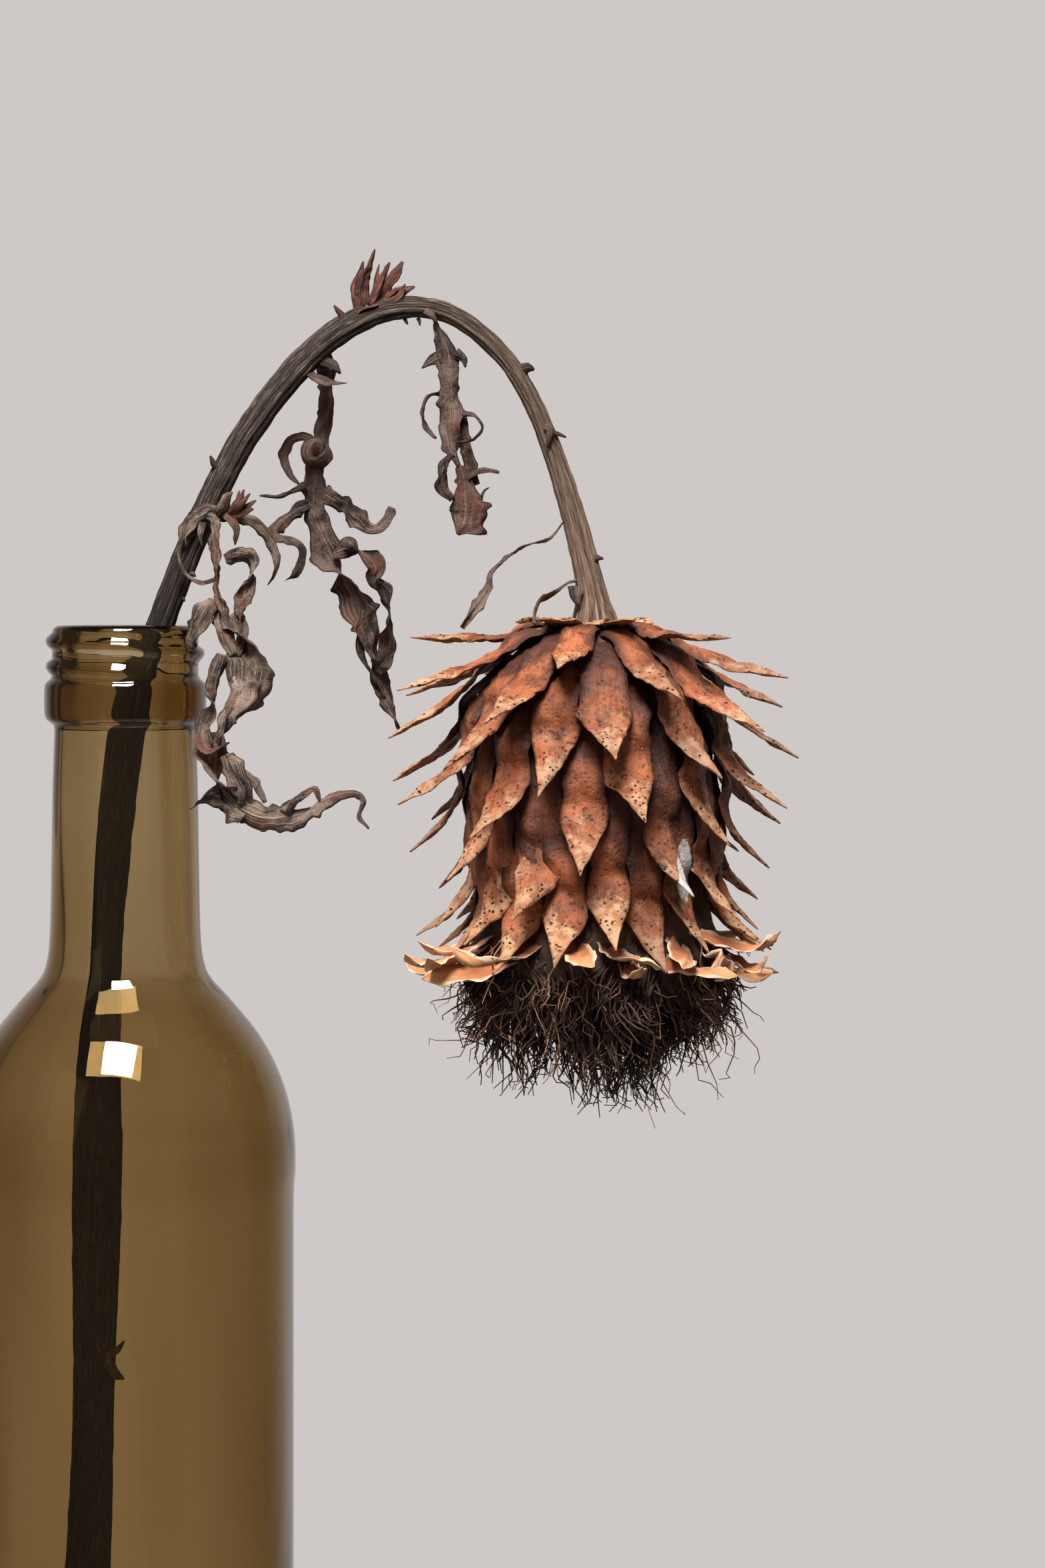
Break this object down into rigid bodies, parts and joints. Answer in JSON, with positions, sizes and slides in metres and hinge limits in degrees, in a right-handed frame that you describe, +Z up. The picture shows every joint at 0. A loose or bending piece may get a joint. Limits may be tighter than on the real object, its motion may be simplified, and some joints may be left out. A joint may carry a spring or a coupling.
{
  "type": "dried artichoke head in bottle",
  "caption": "Dried globe artichoke head with leathery bracts and a bristle tuft, nodding on an arched leafy stem that stands in a screw-finish wine bottle.",
  "frame": {"origin": "on the resting plane, under the middle of the whole part's box", "axes": "+Z up the bottle's axis, -Y towards the viewer, +X from the bottle towards the hanging head"},
  "size_m": [0.161, 0.0724, 0.3327],
  "materials": {
    "glass": "gloss",
    "stem": "matte",
    "receptacle": "matte",
    "bristles": "matte",
    "bract": "satin",
    "papery": "matte",
    "leaf": "matte",
    "bud": "matte"
  },
  "bodies": {
    "root": {"bottle": "glass", "stem": "stem", "receptacle": "receptacle", "floret_tuft": "bristles", "inner_bracts": "bract", "papery_bracts": "papery", "leaf_lower": "leaf", "leaf_middle": "leaf", "leaf_upper": "leaf", "leaflet_arching": "leaf", "leaflet_looped": "leaf", "withered_leaf_long": "leaf", "withered_leaf_short": "leaf", "bud_upper": "bud", "bud_lower": "bud", "bract_01": "bract", "bract_02": "bract", "bract_03": "bract", "bract_04": "bract", "bract_05": "bract", "bract_06": "bract", "bract_07": "bract", "bract_08": "bract", "bract_09": "bract", "bract_10": "bract", "bract_11": "bract", "bract_12": "bract", "bract_13": "bract", "bract_14": "bract", "bract_15": "bract", "bract_16": "bract", "bract_17": "bract", "bract_18": "bract", "bract_19": "bract", "bract_20": "bract", "bract_21": "bract", "bract_22": "bract", "bract_23": "bract", "bract_24": "bract", "bract_25": "bract", "bract_26": "bract", "bract_27": "bract", "bract_28": "bract", "bract_29": "bract", "bract_30": "bract", "bract_31": "bract", "bract_32": "bract", "bract_33": "bract", "bract_34": "bract", "bract_35": "bract", "bract_36": "bract", "bract_37": "bract", "bract_38": "bract", "bract_39": "bract", "bract_40": "bract", "bract_41": "bract", "bract_42": "bract", "bract_43": "bract", "bract_44": "bract"}
  },
  "joints": []
}
